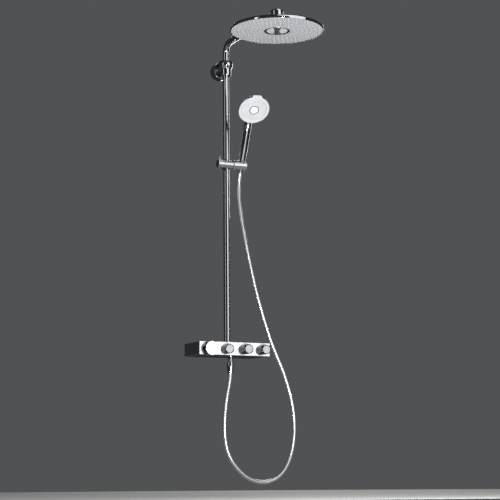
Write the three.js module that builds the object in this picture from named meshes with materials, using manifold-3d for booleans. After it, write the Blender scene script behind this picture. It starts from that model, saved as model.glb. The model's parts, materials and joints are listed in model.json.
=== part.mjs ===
// A wall-mounted shower column: a thermostat with push-and-turn knobs, a riser rail,
// a swivelling overhead rain shower and a hand shower on a slider with its hose.
// Millimetres, +Z up. The origin is the centre of the thermostat's back plate, on the
// wall plane Y = 0. The room is on the -Y side and +X is to the right.
import * as THREE from 'three';
import { mergeVertices } from 'three/addons/utils/BufferGeometryUtils.js';
import Module from 'manifold-3d';

const wasm = await Module();
wasm.setup();

// Driving dimensions.
const gap = 0.3;                 // clearance between pieces that touch
const railY = -65;               // the riser rail's axis stands this far from the wall
const railRadius = 11;
const railTop = 1000;
const caseHalf = 132.5;          // the thermostat's half length
const caseHeight = 44;
const caseFront = -129;          // the front plate's outer face
const frontPlate = 3;
const wall = 2.2;
const controlSpacing = 66.5;     // between the four controls
const controlMiddle = -3.5;      // the row of controls sits a little left of the middle
const controlZ = -3.5;           // and a little below it
const dialRadius = 24;
const dialLength = 40;
const knobRadius = 16.3;
const knobLength = 49;           // how far a popped knob stands out
const knobTravel = 12;
const inletHalf = 75;            // half of the 150 mm between the wall connections
const outletY = -90;             // the hose outlet under the thermostat
const hoseRadius = 7;
const bracketZ = 1000;
const drumRadius = 31;
const drumDepth = 35;
const ringTop = 1017;            // top of the fixed rail bracket
const armBase = 1024.6;          // bottom of the swivelling arm
const armZ = 1089;
const armBend = 38;
const armReach = 401;            // rail axis to the centre of the rain shower
const sprayZ = 1031;             // the rain shower's spray face
const headRadius = 155.4;
const bridgeTurn = -26 * Math.PI / 180;  // the bar on the centre spray, about the head's axis
const ballZ = 1062;
const ballRadius = 10;
const slideZ = 650;              // the slider bar's axis
const slideY = -83;
const holderX = 49.5;            // where the hand shower stands in the slider bar
const holderRadius = 16;
const handTilt = 21.8 * Math.PI / 180;
const handHead = new THREE.Vector3(42, -204, 823);      // centre of its spray face
const handNormal = new THREE.Vector3(-0.115, -0.66, -0.742).normalize();
const handRadius = 54.5;
const headY = railY - armReach;

// The hose's route, from inside the lower nut to inside the cone in the holder.
const hoseRoute = [
  [0, outletY, -58], [0, -90, -86], [-4, -90, -116], [-12, -90, -156], [-19, -90, -205],
  [-23, -90, -255], [-21, -90, -302], [-12, -90, -345], [4, -90, -379], [30, -90, -410],
  [63, -90, -436], [101, -90, -450], [139, -89, -451], [174, -89, -438], [204, -89, -411],
  [226, -88, -373], [240, -88, -328], [247, -87, -265], [243, -86, -200], [233, -85, -151],
  [219, -84, -104], [201, -83, -56], [179, -82, -7], [158, -81, 44], [140, -79, 98],
  [123, -77, 155], [108, -75, 210], [95, -73, 266], [83, -71, 322], [72, -69, 378],
  [62, -66, 435], [54, -63, 491], [49.5, -61, 545], [holderX, -63, 588],
  [holderX, -68.5, 613.5], [holderX, -73, 625], [holderX, -77.6, 636.5],
];

// How many flat sides a round piece has.
const broadSides = 36;
const roundSides = 20;
const smallSides = 12;

const finishes = {
  chrome: { color: 0xc9ccd0, roughness: 0.08, metalness: 1 },
  steel: { color: 0x9a9da0, roughness: 0.35, metalness: 1 },
  brass: { color: 0xb08d4a, roughness: 0.35, metalness: 1 },
  whitePlastic: { color: 0xd9dbdc, roughness: 0.35, metalness: 0 },
  greyPlastic: { color: 0x6d7073, roughness: 0.4, metalness: 0 },
  blackPlastic: { color: 0x17181a, roughness: 0.45, metalness: 0 },
  silicone: { color: 0x8f9496, roughness: 0.6, metalness: 0 },
  hoseSilver: { color: 0xd4d6d8, roughness: 0.25, metalness: 0.4 },
};
const materials = Object.fromEntries(Object.entries(finishes).map(
  ([name, finish]) => [name, new THREE.MeshStandardMaterial({ name, ...finish })]));

const column = new THREE.Group();

function place(name, geometry, finish) {
  const mesh = new THREE.Mesh(geometry, materials[finish]);
  mesh.name = name;
  column.add(mesh);
  return mesh;
}

// Joining and cutting closed meshes.
function solid(geometry) {
  const bare = geometry.clone();
  bare.deleteAttribute('normal');
  bare.deleteAttribute('uv');
  const merged = mergeVertices(bare, 1e-4);
  return new wasm.Manifold(new wasm.Mesh({
    numProp: 3,
    vertProperties: Float32Array.from(merged.attributes.position.array),
    triVerts: Uint32Array.from(merged.index.array),
  }));
}

function surface(manifold) {
  const mesh = manifold.getMesh();
  const geometry = new THREE.BufferGeometry();
  geometry.setAttribute('position', new THREE.BufferAttribute(mesh.vertProperties, 3));
  geometry.setIndex(new THREE.BufferAttribute(mesh.triVerts, 1));
  geometry.computeVertexNormals();
  return geometry;
}

function build(joined, cut = []) {
  let body = solid(joined[0]);
  for (const piece of joined.slice(1)) body = body.add(solid(piece));
  for (const piece of cut) body = body.subtract(solid(piece));
  return surface(body);
}

// A profile of [radius, height] points turned about Z. It closes on itself when it
// doesn't start and end on the axis. Points run so that the faces look outwards.
function turned(points, sides = roundSides) {
  const profile = points.map(([r, z]) => new THREE.Vector2(r, z));
  const onAxis = points[0][0] === 0 && points.at(-1)[0] === 0;
  if (!onAxis) profile.push(profile[0].clone());
  const area = profile.reduce((sum, p, i) => {
    const q = profile[(i + 1) % profile.length];
    return sum + p.x * q.y - q.x * p.y;
  }, 0);
  if (area < 0) profile.reverse();
  const geometry = new THREE.LatheGeometry(profile, sides);
  return geometry.rotateX(Math.PI / 2);
}

const rod = (radius, low, high, sides = smallSides) =>
  turned([[0, low], [radius, low], [radius, high], [0, high]], sides);

const sleeve = (inner, outer, low, high, sides = roundSides) =>
  turned([[inner, low], [outer, low], [outer, high], [inner, high]], sides);

// Turns a shape made about Z so that its +Z looks along a direction, then moves it.
function aim(geometry, direction, x, y, z) {
  const turn = new THREE.Quaternion().setFromUnitVectors(new THREE.Vector3(0, 0, 1), direction);
  return geometry.applyQuaternion(turn).translate(x, y, z);
}

const alongX = (geometry, y, z) => geometry.rotateY(Math.PI / 2).translate(0, y, z);
const out = (geometry, x, y, z) => geometry.rotateX(Math.PI / 2).translate(x, y, z);

function block(x0, x1, y0, y1, z0, z1) {
  return new THREE.BoxGeometry(x1 - x0, y1 - y0, z1 - z0)
    .translate((x0 + x1) / 2, (y0 + y1) / 2, (z0 + z1) / 2);
}

// A round section carried along a list of points, one ring at each point.
class Route extends THREE.Curve {
  constructor(points) {
    super();
    this.points = points;
  }

  getPointAt(u, target = new THREE.Vector3()) {
    const step = u * (this.points.length - 1);
    const first = Math.min(Math.floor(step + 1e-9), this.points.length - 2);
    return target.lerpVectors(this.points[first], this.points[first + 1], step - first);
  }

  getTangentAt(u, target = new THREE.Vector3()) {
    const ring = Math.round(u * (this.points.length - 1));
    const before = this.points[Math.max(ring - 1, 0)];
    const after = this.points[Math.min(ring + 1, this.points.length - 1)];
    return target.subVectors(after, before).normalize();
  }
}

function swept(points, radius, sides, inner = 0) {
  const section = new THREE.Shape();
  const corner = (r, i) => [
    r * Math.cos(2 * Math.PI * i / sides), r * Math.sin(2 * Math.PI * i / sides)];
  section.moveTo(...corner(radius, 0));
  for (let i = 1; i < sides; i++) section.lineTo(...corner(radius, i));
  if (inner) {
    const hole = new THREE.Path();
    hole.moveTo(...corner(inner, 0));
    for (let i = 1; i < sides; i++) hole.lineTo(...corner(inner, i));
    section.holes.push(hole);
  }
  return new THREE.ExtrudeGeometry(section, {
    steps: points.length - 1, extrudePath: new Route(points), curveSegments: 1,
  });
}

// Thermostat: casing, back plate and the brass mixer body that carries the water.
const bottom = -caseHeight / 2;
const top = caseHeight / 2;
const controlX = [0, 1, 2, 3].map((i) => (i - 1.5) * controlSpacing + controlMiddle);
const endPlate = 3;
const shellFront = caseFront + frontPlate + gap;
const shellHalf = caseHalf - endPlate - gap;
const dialHole = 8;
const knobHole = knobRadius + 0.6;
const controlHole = [dialHole, knobHole, knobHole, knobHole];

const backHalf = 115;
const inletRadius = 13;
place('back_plate', build(
  [block(-backHalf, backHalf, -3, 0, -18, 18)],
  [-inletHalf, inletHalf].map((x) => out(rod(inletRadius + 0.4, -1, 4, smallSides), x, 0, 0))),
'steel');

function casing() {
  const outer = block(-shellHalf, shellHalf, shellFront, -0.6, bottom, top);
  const hollow = block(-shellHalf - 1, shellHalf + 1, shellFront + wall, 1,
    bottom + wall, top - wall);
  const openings = controlX.map((x, i) =>
    out(rod(controlHole[i], 120, 140, roundSides), x, 0, controlZ));
  const railHole = rod(13, 10, 30, smallSides).translate(0, railY, 0);
  const hoseHole = rod(9.5, -30, -10, smallSides).translate(0, outletY, 0);
  return build([outer], [hollow, railHole, hoseHole, ...openings]);
}
place('thermostat_casing', casing(), 'chrome');

place('front_plate', build(
  [block(-caseHalf, caseHalf, caseFront, caseFront + frontPlate, bottom, top)],
  controlX.map((x, i) => out(rod(controlHole[i], 120, 140, roundSides), x, 0, controlZ))),
'whitePlastic');

for (const [name, side] of [['end_cap_left', -1], ['end_cap_right', 1]]) {
  const inner = side * (caseHalf - endPlate);
  const outer = side * caseHalf;
  place(name, block(Math.min(inner, outer), Math.max(inner, outer),
    shellFront, -0.6, bottom, top), 'chrome');
}

const galleryRadius = 15;
const galleryHalf = 112;
const bossRadius = 12.5;
const bossFront = 112;
function mixer() {
  const gallery = alongX(rod(galleryRadius, -galleryHalf, galleryHalf, roundSides), railY, 0);
  const inlets = [-inletHalf, inletHalf].map((x) => out(rod(12, 26, -railY, smallSides), x, 0, 0));
  const bosses = controlX.map((x) =>
    out(rod(bossRadius, -railY, bossFront, smallSides), x, 0, controlZ));
  const riser = rod(galleryRadius, 0, 19, smallSides).translate(0, railY, 0);
  const outlet = out(rod(10.5, -railY, 101, smallSides), 0, 0, 0);
  const outletBoss = rod(8.5, -18.5, 0, smallSides).translate(0, outletY, 0);
  const wells = controlX.map((x) => out(rod(10, 84, 120, smallSides), x, 0, controlZ));
  const railWell = rod(railRadius + gap, 6, 30, roundSides).translate(0, railY, 0);
  return build([gallery, ...inlets, ...bosses, riser, outlet, outletBoss], [...wells, railWell]);
}
place('mixer_body', mixer(), 'brass');

for (const [side, x] of [['left', -inletHalf], ['right', inletHalf]]) {
  place(`inlet_nipple_${side}`, out(turned([
    [9, 0], [inletRadius, 0], [inletRadius, 12], [11.4, 12], [11.4, 25.6], [9, 25.6]],
  smallSides), x, 0, 0), 'brass');
  place(`inlet_nut_${side}`, build(
    [out(rod(17, 13, 25, 6), x, 0, 0)], [out(rod(11.8, 10, 28, smallSides), x, 0, 0)]), 'brass');
}

place('riser_collar', sleeve(railRadius + gap, 17, top + gap, 30).translate(0, railY, 0), 'chrome');
place('riser_rail', sleeve(9.3, railRadius, 6.3, railTop).translate(0, railY, 0), 'chrome');

// Controls: a temperature dial and three knobs that push for on and off and turn for flow.
const stemRadius = 5;
const stemBore = 5.4;
function cartridge(name, x) {
  place(name, out(turned([
    [0, 84.3], [9.7, 84.3], [9.7, 111.6], [stemBore, 111.6], [stemBore, 88.5], [0, 88.5]],
  smallSides), x, 0, controlZ), 'blackPlastic');
}
const dialFront = -caseFront + dialLength;
const dialWell = 12;             // how thick the dial's face is over its stem
cartridge('temperature_cartridge', controlX[0]);
place('temperature_stem', out(
  rod(stemRadius, 90, dialFront - dialWell - gap), controlX[0], 0, controlZ), 'brass');
place('temperature_dial', out(turned([
  [stemBore, -caseFront + 0.8], [dialRadius, -caseFront + 0.8], [dialRadius, dialFront - 3],
  [dialRadius - 0.9, dialFront - 0.9], [dialRadius - 3, dialFront], [0, dialFront],
  [0, dialFront - dialWell], [stemBore, dialFront - dialWell]]), controlX[0], 0, controlZ), 'chrome');

const knobNames = ['hand', 'middle', 'rain'];
const pressed = [true, false, false];
const capRecess = 4.2;
const capRadius = 13.6;
const sleeveLength = 48.6;
knobNames.forEach((name, i) => {
  const x = controlX[i + 1];
  const front = -caseFront + knobLength - (pressed[i] ? knobTravel : 0);
  cartridge(`${name}_valve_cartridge`, x);
  place(`${name}_valve_stem`, out(
    rod(stemRadius, front - 76, front - capRecess), x, 0, controlZ), 'brass');
  place(`${name}_knob_cap`, out(
    rod(capRadius, front - capRecess + gap, front - 0.4, roundSides), x, 0, controlZ), 'whitePlastic');
  place(`${name}_knob_grip`, out(turned([
    [stemBore, front - sleeveLength], [knobRadius - 0.6, front - sleeveLength],
    [knobRadius, front - sleeveLength + 1], [knobRadius, front - 1], [knobRadius - 1, front],
    [capRadius + 0.4, front], [capRadius + 0.4, front - capRecess],
    [stemBore, front - capRecess]]), x, 0, controlZ), 'chrome');
});

// Hose outlet, the nut on the hose and the hose.
place('outlet_nipple', turned([[5.5, -18.8], [8.5, -18.8], [8.5, -50], [5.5, -50]], smallSides)
  .translate(0, outletY, 0), 'chrome');
place('hose_nut', turned([
  [8.8, -43], [11.4, -43], [12, -45], [12, -58], [9.4, -84], [7.6, -84], [7.6, -50.4],
  [8.8, -50.4]]).translate(0, outletY, 0), 'chrome');

const hoseSteps = 48;
const hoseCurve = new THREE.CatmullRomCurve3(
  hoseRoute.map((p) => new THREE.Vector3(...p)), false, 'centripetal');
hoseCurve.arcLengthDivisions = 1200;
place('shower_hose', swept(hoseCurve.getSpacedPoints(hoseSteps), hoseRadius, 10), 'hoseSilver');

// Upper wall bracket: a drum on the wall, its stem and the fixed socket for rail and arm.
place('bracket_block', out(turned(
  [[0, 0], [20, 0], [20, 22], [9.3, 22], [9.3, 4], [0, 4]], smallSides), 0, 0, bracketZ), 'steel');
place('bracket_drum', out(turned([
  [28.6, 0.3], [drumRadius, 0.3], [drumRadius, drumDepth - 1.2], [drumRadius - 1.2, drumDepth],
  [9.3, drumDepth], [9.3, drumDepth - 2.5], [28.6, drumDepth - 2.5]], broadSides), 0, 0, bracketZ),
'chrome');
const socketBack = 43;
const wallStemRadius = 9;
place('bracket_stem', out(rod(wallStemRadius, 4.3, socketBack + 7), 0, 0, bracketZ), 'chrome');
function railSocket() {
  const shell = turned([
    [0, 973], [18.4, 973], [19, 973.8], [19, 998], [25, 1006.5], [25, ringTop - 0.8],
    [24.2, ringTop], [0, ringTop]], roundSides).translate(0, railY, 0);
  const boss = out(rod(11.5, socketBack, -railY, smallSides), 0, 0, bracketZ);
  const railBore = rod(railRadius + gap, 960, railTop + gap, roundSides).translate(0, railY, 0);
  const swivelBore = rod(9.3, 990, 1030, roundSides).translate(0, railY, 0);
  const stemHole = out(rod(wallStemRadius + gap, 30, socketBack + 7 + gap, smallSides), 0, 0, bracketZ);
  return build([shell, boss], [railBore, swivelBore, stemHole]);
}
place('rail_socket', railSocket(), 'chrome');

// Swivelling arm.
place('swivel_ring', sleeve(9.6, 23.5, ringTop + gap, armBase - gap)
  .translate(0, railY, 0), 'blackPlastic');
place('swivel_spigot', sleeve(6.5, 9, railTop + 0.8, armBase + 22, smallSides)
  .translate(0, railY, 0), 'brass');
function armLine() {
  const line = [new THREE.Vector3(0, railY, armBase)];
  const bendSteps = 7;
  for (let i = 0; i <= bendSteps; i++) {
    const turn = i / bendSteps * Math.PI / 2;
    line.push(new THREE.Vector3(0, railY - armBend * (1 - Math.cos(turn)),
      armZ - armBend * (1 - Math.sin(turn))));
  }
  line.push(new THREE.Vector3(0, headY + 13, armZ));
  return line;
}
place('shower_arm', swept(armLine(), railRadius, roundSides, 9.3), 'chrome');
const hubLow = armZ - 14.5;
const hubHigh = armZ + 14.5;
place('arm_hub', build([turned([
  [0, hubLow], [20.5, hubLow], [21.5, hubLow + 1], [21.5, hubHigh - 5], [20.6, hubHigh - 2.2],
  [18.4, hubHigh - 0.5], [16, hubHigh], [0, hubHigh]], roundSides).translate(0, headY, 0)], [
  out(rod(railRadius + gap, -headY - 40, -headY - 12.6, roundSides), 0, 0, armZ),
  rod(5.3, hubLow - 5, hubLow + 8.3, smallSides).translate(0, headY, 0)]), 'chrome');

// Ball joint between the arm and the rain shower.
function arcPoints(radius, from, to, steps, centre) {
  return Array.from({ length: steps + 1 }, (_, i) => {
    const angle = from + (to - from) * i / steps;
    return [radius * Math.sin(angle), centre + radius * Math.cos(angle)];
  });
}
const neckAngle = Math.asin(5 / ballRadius);
place('ball_stud', turned([
  [0, hubLow + 8], [5, hubLow + 8],
  ...arcPoints(ballRadius, neckAngle, Math.PI - 0.001, 7, ballZ).slice(0, -1),
  [0, ballZ - ballRadius]], roundSides).translate(0, headY, 0), 'steel');
place('ball_seat', turned([
  ...arcPoints(ballRadius + 0.5, 1.05, 2.3, 5, ballZ),
  ...arcPoints(ballRadius + 2.4, 2.3, 1.05, 5, ballZ)], roundSides).translate(0, headY, 0),
'blackPlastic');
const nutLow = 1053.3;
const cavity = ballRadius + 2.9;
place('ball_nut', turned([
  [Math.sqrt(cavity ** 2 - (ballZ - nutLow) ** 2), nutLow], [19, nutLow], [19, ballZ + 3.5],
  [17, ballZ + 6],
  ...arcPoints(cavity, Math.acos(6 / cavity), Math.acos((nutLow - ballZ) / cavity), 5, ballZ)
    .slice(0, -1)], roundSides).translate(0, headY, 0), 'chrome');

// Rain shower: domed shell, nozzle mat, spray plate and the centre spray.
const dome = [
  [headRadius - 0.4, sprayZ], [headRadius, sprayZ + 4.5], [headRadius - 2.9, sprayZ + 10],
  [headRadius - 9.4, sprayZ + 13.2], [120, sprayZ + 16], [80, sprayZ + 19.5],
  [45, sprayZ + 21.5], [19, sprayZ + 22], [13.5, sprayZ + 22],
];
const lining = [
  [13.5, sprayZ + 19.8], [45, sprayZ + 19.2], [80, sprayZ + 17.2], [120, sprayZ + 13.7],
  [headRadius - 10.4, sprayZ + 11], [headRadius - 5, sprayZ + 8.4], [headRadius - 2.7, sprayZ + 4],
  [headRadius - 2.7, sprayZ],
];
place('rain_shell', turned([...dome, ...lining], broadSides).translate(0, headY, 0), 'chrome');
place('nozzle_mat', sleeve(12, 147, sprayZ + 3.4, sprayZ + 5.4, broadSides)
  .translate(0, headY, 0), 'silicone');
place('spray_plate', sleeve(43.4, headRadius - 3.1, sprayZ, sprayZ + 3, broadSides)
  .translate(0, headY, 0), 'whitePlastic');
place('centre_ring', sleeve(38.8, 43, sprayZ - 1.4, sprayZ + 3, broadSides)
  .translate(0, headY, 0), 'chrome');
place('centre_plate', rod(38.4, sprayZ - 0.4, sprayZ + 3, roundSides)
  .translate(0, headY, 0), 'greyPlastic');
place('centre_bridge', block(-4.5, 4.5, -36, 36, sprayZ - 2.6, sprayZ - 0.7)
  .rotateZ(bridgeTurn).translate(0, headY, 0), 'greyPlastic');

// Slider on the rail: clamp knob at the left, hand shower holder at the right.
const barRadius = 13;
const bodyLeft = -18.5;
const bodyRight = 15.5;
place('slider_body', build([
  alongX(rod(barRadius, bodyLeft, bodyRight, roundSides), slideY, slideZ),
  rod(16, slideZ - 12.5, slideZ + 12.5, roundSides).translate(0, railY, 0)], [
  rod(12.3, slideZ - 20, slideZ + 20, roundSides).translate(0, railY, 0),
  alongX(rod(3.9, bodyLeft - 5, -7, smallSides), slideY, slideZ),
  alongX(rod(3.9, 6, bodyRight + 5, smallSides), slideY, slideZ)]), 'chrome');
place('slider_liner', sleeve(railRadius + gap, 12, slideZ - 12, slideZ + 12)
  .translate(0, railY, 0), 'blackPlastic');
const knobLeft = -42;
const knobRight = bodyLeft - 0.5;
const leverX = -34.6;
place('clamp_knob', build([alongX(turned([
  [0, knobLeft], [13, knobLeft], [14, knobLeft + 1], [14, knobRight], [0, knobRight]], roundSides),
slideY, slideZ)], [
  alongX(rod(3.9, knobRight - 6, knobRight + 1, smallSides), slideY, slideZ),
  rod(3.3, slideZ + 8, slideZ + 20, smallSides).translate(leverX, slideY, 0)]), 'chrome');
place('clamp_lever', turned([
  [0, slideZ + 8.3], [3, slideZ + 8.3], [3, slideZ + 28.2], [2.2, slideZ + 29], [0, slideZ + 29]],
smallSides).translate(leverX, slideY, 0), 'chrome');
place('clamp_screw', alongX(rod(3.6, knobRight - 5.7, -7.3), slideY, slideZ), 'steel');
place('holder_pivot', alongX(rod(3.6, 6.3, bodyRight + 7), slideY, slideZ), 'steel');

// The hand shower's own line: s is measured up it from the slider bar's axis.
const handAxis = new THREE.Vector3(0, -Math.sin(handTilt), Math.cos(handTilt));
const onHandLine = (geometry) => aim(geometry, handAxis, holderX, slideY, slideZ);
const coneRadius = (s) => 11.5 + 0.05 * s;
place('hand_holder', build([alongX(turned([
  [0, bodyRight + 0.5], [holderRadius, bodyRight + 0.5], [holderRadius, 65],
  [holderRadius - 1, 66], [0, 66]]), slideY, slideZ)], [
  onHandLine(turned([
    [0, -24], [coneRadius(-24) + gap, -24], [coneRadius(24) + gap, 24], [0, 24]])),
  onHandLine(block(-7.6, 7.6, 0, 30, -30, 30)),
  alongX(rod(3.9, bodyRight, bodyRight + 7.5, smallSides), slideY, slideZ)]), 'chrome');
place('hose_cone', onHandLine(turned([
  [7.6, -24], [coneRadius(-24), -24], [coneRadius(18), 18], [4, 18], [4, -13.6], [7.6, -13.6]],
roundSides)), 'chrome');

// Hand shower: a tapering handle that bends into a round head.
const handPoint = (s) => new THREE.Vector3(holderX, slideY, slideZ).addScaledVector(handAxis, s);
const neckCurve = new THREE.CatmullRomCurve3([
  handPoint(128), handPoint(140), new THREE.Vector3(49.2, -141.5, 795.5),
  new THREE.Vector3(47.4, -157, 812), new THREE.Vector3(44.8, -179, 824),
]);
const faceFrame = (geometry) =>
  aim(geometry, handNormal.clone().negate(), handHead.x, handHead.y, handHead.z);
const shellProfile = [
  [0, 24], [22, 22.8], [38, 18.8], [48.5, 13], [53.3, 7.5], [handRadius, 3.5],
  [handRadius - 0.5, 1.6],
];
const recess = [
  [0, 20.6], [21, 19.6], [36, 16], [46, 11], [51, 5.5], [51, 1.6], [51, -5], [0, -5],
];
function handBody() {
  const handle = onHandLine(turned([
    [0, 18.3], [12, 18.3], [12.5, 19.3], [13.2, 70], [13.8, 128], [13, 134], [0, 138]], roundSides));
  const neck = swept(neckCurve.getSpacedPoints(7), 13, smallSides);
  const shell = faceFrame(turned([...shellProfile, [0, 1.6]], broadSides));
  return build([handle, neck, shell], [faceFrame(turned(recess, broadSides))]);
}
place('hand_shower_body', handBody(), 'chrome');
place('hand_face_plate', faceFrame(rod(43.4, -0.6, 4.5, roundSides)), 'whitePlastic');
place('hand_centre_button', faceFrame(turned([
  [0, -2.4], [13.3, -2.4], [14.5, -1.4], [14.5, -0.9], [0, -0.9]], roundSides)), 'whitePlastic');
// The selector ring turns about the face and carries a tab at the top of the head.
function selector() {
  const ring = turned([
    [43.8, 1.2], [handRadius, 1.2], [handRadius, 0], [handRadius - 1.4, -1.8], [45, -1.8],
    [43.8, -1]], broadSides);
  const tab = block(-17, 17, 50, 61.5, -1.6, 1.1);
  const body = solid(ring).add(solid(tab));
  const geometry = surface(body.subtract(solid(rod(43.8, -5, 5, broadSides))));
  const up = new THREE.Vector3(0, 0, 1).projectOnPlane(handNormal).normalize();
  const back = handNormal.clone().negate();
  const side = new THREE.Vector3().crossVectors(up, back);
  const frame = new THREE.Matrix4().makeBasis(side, up, back).setPosition(handHead);
  return geometry.applyMatrix4(frame);
}
place('spray_selector', selector(), 'whitePlastic');

export default column;
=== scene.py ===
# %% [markdown]
# # A shower column with an overhead rain shower
# The column hangs on a tiled wall: a long flat thermostat below, a chromed riser rail, a
# swivelling arm with a wide rain shower, and a hand shower on a slider with its hose.
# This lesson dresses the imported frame: round pieces are turned from profiles, pipes are
# carried along lines, and the small nozzles that repeat come from Geometry Nodes.

import json
import math

import bmesh
import bpy
from mathutils import Matrix, Vector


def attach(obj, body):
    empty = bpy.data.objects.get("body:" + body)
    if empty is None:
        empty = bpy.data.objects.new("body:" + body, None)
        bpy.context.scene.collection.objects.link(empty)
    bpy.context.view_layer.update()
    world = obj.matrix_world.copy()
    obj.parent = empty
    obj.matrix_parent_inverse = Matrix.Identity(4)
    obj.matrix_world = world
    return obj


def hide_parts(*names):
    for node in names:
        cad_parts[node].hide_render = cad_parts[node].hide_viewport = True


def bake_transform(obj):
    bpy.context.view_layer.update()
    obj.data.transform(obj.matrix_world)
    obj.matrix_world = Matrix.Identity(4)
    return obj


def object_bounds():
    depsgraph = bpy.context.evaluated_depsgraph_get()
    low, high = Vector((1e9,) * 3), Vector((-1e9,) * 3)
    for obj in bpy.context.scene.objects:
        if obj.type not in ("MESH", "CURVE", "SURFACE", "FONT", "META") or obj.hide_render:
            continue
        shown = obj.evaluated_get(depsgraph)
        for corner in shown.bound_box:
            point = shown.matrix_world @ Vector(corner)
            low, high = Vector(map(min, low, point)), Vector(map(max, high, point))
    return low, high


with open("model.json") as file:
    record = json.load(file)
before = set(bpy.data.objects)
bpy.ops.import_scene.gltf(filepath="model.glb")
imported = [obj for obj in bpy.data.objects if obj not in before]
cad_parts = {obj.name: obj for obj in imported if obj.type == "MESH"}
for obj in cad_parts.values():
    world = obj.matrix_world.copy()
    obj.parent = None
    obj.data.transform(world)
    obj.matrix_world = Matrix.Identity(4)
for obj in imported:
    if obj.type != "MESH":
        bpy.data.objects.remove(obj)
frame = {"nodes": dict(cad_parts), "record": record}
cad_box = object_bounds()
MM = 0.001
record = frame["record"]
bodies = record["behaviour"]["bodies"]
node_body = {node: body for body, nodes in bodies.items() for node in nodes}
slot_of = {part["node"]: part["material_slot"] for part in record["subparts"]}
print("bodies:", len(bodies), "nodes:", len(node_body))

# %% [markdown]
# ## The camera
# The view is from low down and a little to the left, a long way off with a long lens, so
# that the upright rail stays nearly straight. The camera is placed by its position, the
# way it looks, and a small roll, which is easier to check than an aim point.

# %% Camera
VIEW_YAW = math.radians(26.07)
VIEW_PITCH = math.radians(8.39)
VIEW_ROLL = math.radians(0.40)
CAMERA_PLACE = Vector((-2.308, -4.968, -0.450))

camera = bpy.data.objects.new("camera", bpy.data.cameras.new("camera"))
camera.data.lens = 113.1
camera.data.sensor_width = 36
camera.matrix_world = (
    Matrix.Translation(CAMERA_PLACE)
    @ Matrix.Rotation(-VIEW_YAW, 4, "Z")
    @ Matrix.Rotation(math.pi / 2 + VIEW_PITCH, 4, "X")
    @ Matrix.Rotation(-VIEW_ROLL, 4, "Z")
)
bpy.context.scene.collection.objects.link(camera)
bpy.context.scene.camera = camera
print("camera", [round(c, 3) for c in camera.matrix_world.translation])

# %% [markdown]
# ## Building materials from nodes
# Each finish is a small node tree. One helper adds a node with its settings and its
# inputs, and one turns a colour as a paint chart gives it into the linear values that a
# shader works in. Noise scales are given as the size of one grain in millimetres, read
# in Object coordinates, so that a pattern has its real size on every piece.

# %% Colours and nodes
def linear(colour):
    """A hex sRGB colour as linear red, green, blue and alpha."""
    shares = [((colour >> shift) & 255) / 255 for shift in (16, 8, 0)]
    return tuple(s / 12.92 if s <= 0.04045 else ((s + 0.055) / 1.055) ** 2.4 for s in shares) + (1,)


def add(tree, kind, settings=None, inputs=None):
    """Adds a node, sets its properties, then fills or links its inputs."""
    node = tree.nodes.new(kind)
    for key, value in (settings or {}).items():
        setattr(node, key, value)
    for key, value in (inputs or {}).items():
        if isinstance(value, bpy.types.NodeSocket):
            tree.links.new(value, node.inputs[key])
        else:
            node.inputs[key].default_value = value
    return node


def grains_per_metre(size_mm):
    return 1000 / size_mm


def new_material(name, colour, metallic, roughness, **sockets):
    """A Principled material whose constant values sit on its own sockets."""
    material = bpy.data.materials.new(name)
    material.use_nodes = True
    tree = material.node_tree
    tree.nodes.clear()
    shader = add(tree, "ShaderNodeBsdfPrincipled", None, {
        "Base Color": linear(colour), "Metallic": metallic, "Roughness": roughness})
    for socket, value in sockets.items():
        shader.inputs[socket.replace("_", " ")].default_value = value
    add(tree, "ShaderNodeOutputMaterial", None, {"Surface": shader.outputs["BSDF"]})
    return material, tree, shader


print("mid grey is", linear(0x808080))


# %% Patterns from noise
def noise(tree, size_mm, detail, stretch=(1, 1, 1)):
    """Noise with grains of a real size on the piece."""
    place = add(tree, "ShaderNodeTexCoord")
    mapping = add(tree, "ShaderNodeMapping", None, {
        "Vector": place.outputs["Object"], "Scale": stretch})
    return add(tree, "ShaderNodeTexNoise", None, {
        "Vector": mapping.outputs["Vector"], "Scale": grains_per_metre(size_mm),
        "Detail": detail}).outputs["Fac"]


USUAL_NOISE = (0.3, 0.7)


def spread(tree, source, low, high):
    """A noise value from its usual span to the range that a socket needs."""
    return add(tree, "ShaderNodeMapRange", None, {
        "Value": source, "From Min": USUAL_NOISE[0], "From Max": USUAL_NOISE[1],
        "To Min": low, "To Max": high}).outputs["Result"]


def bump(tree, height, distance_mm, strength):
    return add(tree, "ShaderNodeBump", None, {
        "Height": height, "Distance": distance_mm * MM, "Strength": strength}).outputs["Normal"]


def tinted(tree, source, dark, light):
    """A colour between two, chosen by a noise value."""
    ramp = add(tree, "ShaderNodeValToRGB", None, {"Fac": source})
    for stop, share, colour in zip(ramp.color_ramp.elements, USUAL_NOISE, (dark, light)):
        stop.position = share
        stop.color = linear(colour)
    return ramp.outputs["Color"]


print("a noise value is usually within", USUAL_NOISE)

# %% [markdown]
# ## Polished chrome
# Rail, arm and casing are brass with bright nickel and chrome plating, polished to a
# mirror. The eye sees almost only reflections, so the base colour is chrome's own cool
# grey, and what makes it real is a faint haze: patches a few centimetres wide where the
# polish is a little softer, and a very shallow ripple that bends the edge of a reflection.

# %% Chrome
HAZE_PATCH_MM = 30
RIPPLE_WIDTH_MM = 22


def chrome_finish(name, colour, haze_low, haze_high, ripple_mm):
    material, tree, shader = new_material(name, colour, 1.0, haze_low)
    haze = spread(tree, noise(tree, HAZE_PATCH_MM, 4), haze_low, haze_high)
    tree.links.new(haze, shader.inputs["Roughness"])
    ripple = bump(tree, noise(tree, RIPPLE_WIDTH_MM, 1), ripple_mm, 0.35)
    tree.links.new(ripple, shader.inputs["Normal"])
    return material


chrome = chrome_finish("Polished chrome on brass", 0xD3D6DA, 0.035, 0.075, 0.010)
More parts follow.
